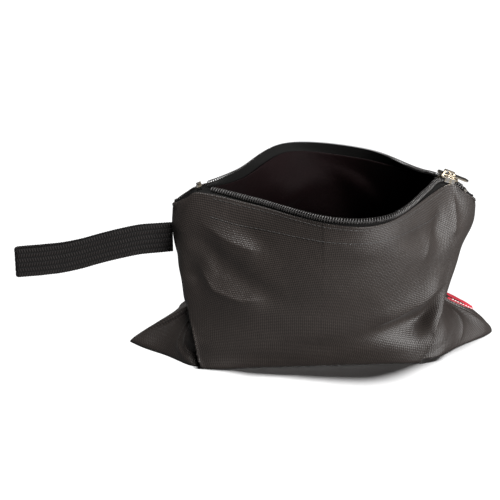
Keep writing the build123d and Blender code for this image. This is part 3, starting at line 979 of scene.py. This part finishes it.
class Nodes:
    """Short ways to make a material's nodes."""

    def __init__(self, name):
        self.material = bpy.data.materials.new(name)
        self.material.use_nodes = True
        self.tree = self.material.node_tree
        self.shader = self.tree.nodes["Principled BSDF"]

    def link(self, value, socket):
        """Set a socket to a number, a colour or another node's output."""
        if isinstance(value, bpy.types.NodeSocket):
            self.tree.links.new(value, socket)
        elif isinstance(value, tuple) and len(value) == 3 and socket.type == "RGBA":
            socket.default_value = (*value, 1)
        else:
            socket.default_value = value

    def new(self, kind, **inputs):
        """New node with some of its inputs set."""
        node = self.tree.nodes.new(f"ShaderNode{kind}")
        for name, value in inputs.items():
            self.link(value, node.inputs[name])
        return node

    def math(self, kind, *values):
        """Result of one sum."""
        node = self.new("Math")
        node.operation = kind
        for value, socket in zip(values, node.inputs):
            self.link(value, socket)
        return node.outputs[0]

    def flat(self):
        """The two flat coordinates of the surface in mm."""
        uv = self.new("UVMap")
        uv.uv_map = "flat"
        split = self.new("SeparateXYZ", Vector=uv.outputs[0])
        return uv.outputs[0], split.outputs[0], split.outputs[1]

    def place(self):
        """Place in the object, in metres."""
        return self.new("TexCoord").outputs["Object"]

    def noise(self, vector, scale, detail=3.0, rough=0.55):
        """Soft random pattern from 0 to 1."""
        return self.new("TexNoise", Vector=vector, Scale=scale, Detail=detail, Roughness=rough).outputs[0]

    def span(self, value, low, high, to_low, to_high):
        """Value moved from one range to another, held at its ends."""
        node = self.new("MapRange")
        for number, socket in zip((value, low, high, to_low, to_high), node.inputs):
            self.link(number, socket)
        return node.outputs[0]

    def mix(self, share, a, b):
        """Colour between a and b."""
        node = self.new("Mix", Factor=share)
        node.data_type = "RGBA"
        self.link(a, node.inputs[6])
        self.link(b, node.inputs[7])
        return node.outputs[2]

    def bump(self, height, deep, normal=None):
        """Normal of a relief deep millimetres high."""
        node = self.new("Bump", Distance=deep * MM, Height=height)
        if normal is not None:
            self.link(normal, node.inputs["Normal"])
        return node.outputs[0]

    def set(self, **values):
        """Set the shader's inputs by name, with _ for spaces."""
        for name, value in values.items():
            self.link(value, self.shader.inputs[name.replace("_", " ")])
        return self.material


def weave(nodes, u, v, yarns, weft):
    """Relief of a plain weave: spacing of its yarns in mm, and how far the weft stands out."""
    a, b = (
        nodes.math("SINE", nodes.math("MULTIPLY", way, math.pi / gap)) for way, gap in zip((u, v), yarns)
    )
    turn = nodes.math("MULTIPLY", nodes.math("MULTIPLY", a, b), 0.5)
    over_a = nodes.math("MULTIPLY_ADD", nodes.math("ABSOLUTE", b), 0.5 * weft, turn)
    over_b = nodes.math("SUBTRACT", nodes.math("MULTIPLY", nodes.math("ABSOLUTE", a), 0.5), turn)
    return nodes.math("MAXIMUM", over_a, over_b)


def cloth_material(name, dark, light, yarns, weft, deep, rough, crumple, gloss):
    """Woven synthetic cloth: threads, uneven colour, rubbed spots and small crumples. Its yarn crowns are
    painted lighter and the grooves between them darker, as painted shade of the weave.
    """
    nodes = Nodes(name)
    uv, u, v = nodes.flat()
    slub = nodes.noise(uv, 0.9, 2.0)
    v_wavy = nodes.math("MULTIPLY_ADD", slub, 0.25, v)
    threads = weave(nodes, u, v_wavy, yarns, weft)
    patches = nodes.noise(nodes.place(), 45.0, 4.0)
    rubbed = nodes.span(nodes.noise(uv, 0.06, 5.0, 0.65), 0.55, 0.75, 0.0, 0.35)
    # dark and light are one yarn in painted shade and lit: crown mixes them by weave height, so the
    # grooves carry painted shade
    crown = nodes.span(threads, 0.25, 0.9, 0.0, 1.0)
    share = nodes.math("MULTIPLY", crown, nodes.span(patches, 0.3, 0.7, 0.75, 1.0))
    share = nodes.math("ADD", share, nodes.math("MULTIPLY", rubbed, crown))
    small = nodes.noise(uv, 0.16, 3.0, 0.5)
    return nodes.set(
        Base_Color=nodes.mix(share, dark, light),
        Roughness=nodes.span(threads, 0.1, 0.9, rough + 0.15, rough - 0.04),
        Normal=nodes.bump(threads, deep, nodes.bump(small, crumple)),
        Specular_IOR_Level=gloss,
        Sheen_Weight=0.04,
        Sheen_Roughness=0.4,
    )


def thread_material(name, dark, light):
    """Twisted sewing thread, the crowns of its plies painted lighter than the grooves between them as
    painted shade.
    """
    nodes = Nodes(name)
    uv, u, v = nodes.flat()
    twist = nodes.math("ADD", nodes.math("MULTIPLY", u, 2.0), nodes.math("DIVIDE", v, THREAD_TWIST))
    turn = nodes.math("MULTIPLY", twist, 2 * math.pi)
    ply = nodes.math("ABSOLUTE", nodes.math("SINE", turn))
    fuzz = nodes.noise(uv, 3.0, 2.0)
    # Base colour: ply crowns lit, the grooves between plies in painted shade, with random fuzz.
    return nodes.set(
        Base_Color=nodes.mix(nodes.math("MULTIPLY", ply, fuzz), dark, light),
        Roughness=nodes.span(fuzz, 0.2, 0.8, 0.45, 0.65),
        Normal=nodes.bump(ply, 0.03),
        Sheen_Weight=0.15,
    )


def coil_material():
    """Glossy nylon wire, worn a little lighter in places."""
    nodes = Nodes("coil nylon")
    uv, _, _ = nodes.flat()
    worn = nodes.noise(nodes.place(), 220.0, 3.0)
    fine = nodes.noise(uv, 4.0, 2.0)
    worn = nodes.span(worn, 0.35, 0.7, 0.0, 1.0)
    return nodes.set(
        Base_Color=nodes.mix(worn, (0.022, 0.020, 0.020), (0.055, 0.052, 0.050)),
        Roughness=nodes.span(fine, 0.2, 0.8, 0.28, 0.42),
        Normal=nodes.bump(fine, 0.02),
        Specular_IOR_Level=0.6,
    )


def metal_material(name, pale, warm, rough):
    """Plated metal with a warm cast in patches, fine scratches and worn spots."""
    nodes = Nodes(name)
    place = nodes.place()
    patch = nodes.span(nodes.noise(place, 260.0, 2.0), 0.42, 0.6, 0.0, 1.0)
    fine = nodes.noise(place, 2600.0, 3.0, 0.7)
    spots = nodes.span(nodes.noise(place, 900.0, 4.0, 0.6), 0.62, 0.72, 0.0, 0.5)
    colour = nodes.mix(spots, nodes.mix(patch, pale, warm), (0.2, 0.18, 0.15))
    return nodes.set(
        Base_Color=colour,
        Metallic=1.0,
        Roughness=nodes.span(fine, 0.3, 0.7, rough - 0.06, rough + 0.1),
        Normal=nodes.bump(fine, 0.012),
    )


def web_material():
    """Webbing yarn: fine fibres along the floats, painted darker between them as painted shade."""
    nodes = Nodes("webbing")
    uv, u, v = nodes.flat()
    rows = nodes.math("MULTIPLY", v, WEB_ROWS / STRAP_WIDE)
    row = nodes.math("FLOOR", rows)
    inside = nodes.math("SUBTRACT", rows, row)
    lean = nodes.math("MULTIPLY_ADD", nodes.math("MODULO", row, 2.0), -2 * WEB_LEAN, WEB_LEAN)
    wave = nodes.math("ADD", nodes.math("DIVIDE", u, WEB_FLOAT), nodes.math("MULTIPLY", lean, inside))
    wave = nodes.math("COSINE", nodes.math("MULTIPLY", wave, 2 * math.pi))
    lift = nodes.math("MULTIPLY_ADD", wave, 0.5, 0.5)
    edge = nodes.math("SINE", nodes.math("MULTIPLY", inside, math.pi))
    relief = nodes.math("MULTIPLY", edge, lift)
    fibre = nodes.math("ABSOLUTE", nodes.math("SINE", nodes.math("MULTIPLY", v, math.pi / 0.22)))
    patches = nodes.noise(uv, 0.12, 4.0)
    # relief paints the float crowns lighter and the gaps between floats in painted shade; patches add real
    # uneven tone
    share = nodes.math("MULTIPLY", relief, nodes.span(patches, 0.3, 0.7, 0.6, 1.0))
    return nodes.set(
        Base_Color=nodes.mix(share, (0.002, 0.0017, 0.0017), (0.019, 0.0145, 0.0135)),
        Roughness=nodes.span(relief, 0.0, 1.0, 0.75, 0.5),
        Normal=nodes.bump(fibre, 0.04, nodes.bump(relief, 0.12)),
        Specular_IOR_Level=0.2,
        Sheen_Weight=0.04,
    )


def floor_material():
    """Matt white paper sweep that throws little light back at the bag."""
    nodes = Nodes("paper floor")
    grain = nodes.noise(nodes.place(), 400.0, 2.0)
    paper = nodes.mix(grain, (0.93,) * 3, (0.95,) * 3)
    seen = nodes.new("LightPath").outputs["Is Camera Ray"]
    return nodes.set(
        Base_Color=nodes.mix(seen, (FLOOR_BOUNCE,) * 3, paper),
        Roughness=0.95,
        Specular_IOR_Level=0.1,
    )


# --- scene

def aimed(name, data, place, back):
    """Camera or lamp at a place, with the given direction behind it."""
    obj = add_object(name, data)
    obj.location = place
    obj.rotation_mode = "QUATERNION"
    obj.rotation_quaternion = (-Vector(back)).to_track_quat("-Z", "Y")
    return obj


def camera():
    """Camera at the object's front, a little to its left and above it."""
    e, a = math.radians(CAMERA_HIGH), math.radians(CAMERA_TURN)
    back = Vector((math.sin(a) * math.cos(e), -math.cos(a) * math.cos(e), math.sin(e)))
    right = Vector((math.cos(a), math.sin(a), 0))
    up = back.cross(right)
    data = bpy.data.cameras.new("camera")
    data.sensor_width = SENSOR
    data.lens = SENSOR * CAMERA_FAR / VIEW_WIDE
    data.clip_start, data.clip_end = 0.01, 20
    place = (back * CAMERA_FAR + right * VIEW_SHIFT[0] + up * VIEW_SHIFT[1]) * MM
    bpy.context.scene.camera = aimed("camera", data, place, back)


def lamp(name, kind, way, power):
    """Light shining from a place or a direction towards the bag."""
    light = bpy.data.lights.new(name, kind)
    light.energy = power
    return aimed(name, light, way, way)


def all_but(name):
    """Group of every piece in the scene but one."""
    group = bpy.data.collections.new(f"all but {name}")
    for obj in bpy.context.scene.objects:
        if obj.type == "MESH" and obj.name != name:
            group.objects.link(obj)
    return group


def lamps():
    """Sun and key lamp: the sun leaves out the strap's shadow, the lamp leaves out the floor."""
    sun = lamp("sun", "SUN", SUN_WAY, SUN_POWER)
    sun.data.angle = math.radians(SUN_WIDE)
    sun.light_linking.blocker_collection = all_but("wrist_strap_webbing")
    key = lamp("key", "AREA", KEY_AT, KEY_POWER)
    key.data.size = KEY_SIZE
    key.light_linking.receiver_collection = all_but("floor")


def studio():
    """White floor, a dim surround that is lightest overhead, and plain colours."""
    mesh = bpy.data.meshes.new("floor")
    corners = [(x * FLOOR_HALF, y * FLOOR_HALF, 0) for x, y in ((-1, -1), (1, -1), (1, 1), (-1, 1))]
    mesh.from_pydata(corners, [], [(0, 1, 2, 3)])
    mesh.materials.append(floor_material())
    add_object("floor", mesh)
    world = bpy.data.worlds.new("surround")
    bpy.context.scene.world = world
    world.use_nodes = True
    tree = world.node_tree
    around = tree.nodes.new("ShaderNodeTexCoord")
    turn = tree.nodes.new("ShaderNodeVectorMath")
    turn.operation = "DOT_PRODUCT"
    turn.inputs[1].default_value = SURROUND_WAY
    shade = tree.nodes.new("ShaderNodeMapRange")
    tree.links.new(around.outputs["Generated"], turn.inputs[0])
    tree.links.new(turn.outputs["Value"], shade.inputs["Value"])
    for name, value in zip(("From Min", "From Max", "To Min", "To Max"), SURROUND_SPAN + SURROUND):
        shade.inputs[name].default_value = value
    tree.links.new(shade.outputs[0], tree.nodes["Background"].inputs["Strength"])
    bpy.context.scene.view_settings.view_transform = "Standard"


def finish_piece(piece, material, body, *nodes):
    """Give a piece its material, its body and the CAD nodes it stands for."""
    piece.data.materials.clear()
    piece.data.materials.append(material)
    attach(piece, body)
    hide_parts(*nodes)
    return piece


def flatten(piece):
    """Give a piece a mesh of its own."""
    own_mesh(piece)


def soft_bag():
    """Outer cloth, linings, tapes, coils and stitching of both halves."""
    grids = settle(SETTLE_ROUNDS)
    # Each cloth's first colour is its yarn in painted shade for the weave grooves, the second the same
    # yarn lit on the crowns.
    shell = cloth_material("shell cloth", (0.0065, 0.005, 0.0045), (0.040, 0.032, 0.028),
                           yarns=(1.15, 1.1), weft=1.15, deep=0.14, rough=0.40, crumple=0.22, gloss=0.35)
    inside = cloth_material("lining cloth", (0.0015, 0.0004, 0.0005), (0.006, 0.0010, 0.0015),
                            yarns=(0.5, 0.5), weft=1.0, deep=0.04, rough=0.7, crumple=0.4, gloss=0.08)
    woven = cloth_material("zip tape", (0.002, 0.002, 0.002), (0.007, 0.0066, 0.0062),
                           yarns=(0.7, 0.55), weft=0.9, deep=0.08, rough=0.7, crumple=0.05, gloss=0.1)
    thread = thread_material("sewing thread", (0.006, 0.005, 0.005), (0.034, 0.031, 0.029))
    nylon = coil_material()
    pieces = (
        (outer_cloth, shell, "{}_panel", SHUT_CLOTH, 0.0),
        (lining_cloth, inside, "{}_lining", SHUT_CLOTH, 0.0),
        (zip_tape, woven, "zipper_tape_{}", SHUT_ZIP, ZIP_TILT),
        (zip_coil, nylon, "zipper_coil_{}", SHUT_ZIP, ZIP_TILT),
        (coil_thread, thread, "zipper_coil_{}", SHUT_ZIP, ZIP_TILT),
        (topstitch, thread, "topstitch_{}", SHUT_CLOTH, 0.0),
    )
    for side, name in NAMES.items():
        half = Half(side, grids[side])
        for make, material, node, keep, tilt in pieces:
            piece = finish_piece(make(half), material, "bag", node.format(name))
            flatten(piece)


def strap_and_tag():
    """Wrist strap and side tag."""
    strap = finish_piece(wrist_strap(), web_material(), "strap", "wrist_strap")
    # The darker red is the ribbon's yarn in painted shade for the weave grooves, the lighter red the same
    # yarn lit on the crowns.
    red = cloth_material("tag ribbon", (0.28, 0.008, 0.018), (0.75, 0.045, 0.075),
                         yarns=(0.35, 0.3), weft=1.2, deep=0.03, rough=0.4, crumple=0.02, gloss=0.4)
    white = thread_material("tag thread", (0.6, 0.58, 0.57), (0.95, 0.93, 0.92))
    tag = finish_piece(side_tag(), red, "bag", "side_tag")
    flatten(tag)
    stitches = finish_piece(tag_stitches(), white, "bag", "tag_stitches")
    flatten(stitches)


def metal(frame):
    """Plated finish and broken edges on the zip's metal pieces."""
    plate = metal_material("plated metal", (0.62, 0.61, 0.60), (0.66, 0.57, 0.43), 0.28)
    steel = metal_material("spring steel", (0.55, 0.54, 0.52), (0.5, 0.45, 0.38), 0.3)
    plated = ("slider_body", "slider_crown", "pull_tab", "top_stop_front", "top_stop_back")
    finishes = dict.fromkeys(plated, plate) | {"bottom_stop": steel, "slider_lock_spring": steel}
    for name, material in finishes.items():
        node = frame["nodes"][name]
        node.data.materials.clear()
        node.data.materials.append(material)
        edge = node.modifiers.new("edges", "BEVEL")
        edge.width = METAL_EDGE * MM
        edge.segments = 2
        edge.limit_method = "ANGLE"


def main():
    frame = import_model()
    camera()
    studio()
    soft_bag()
    strap_and_tag()
    metal(frame)
    lamps()


main()
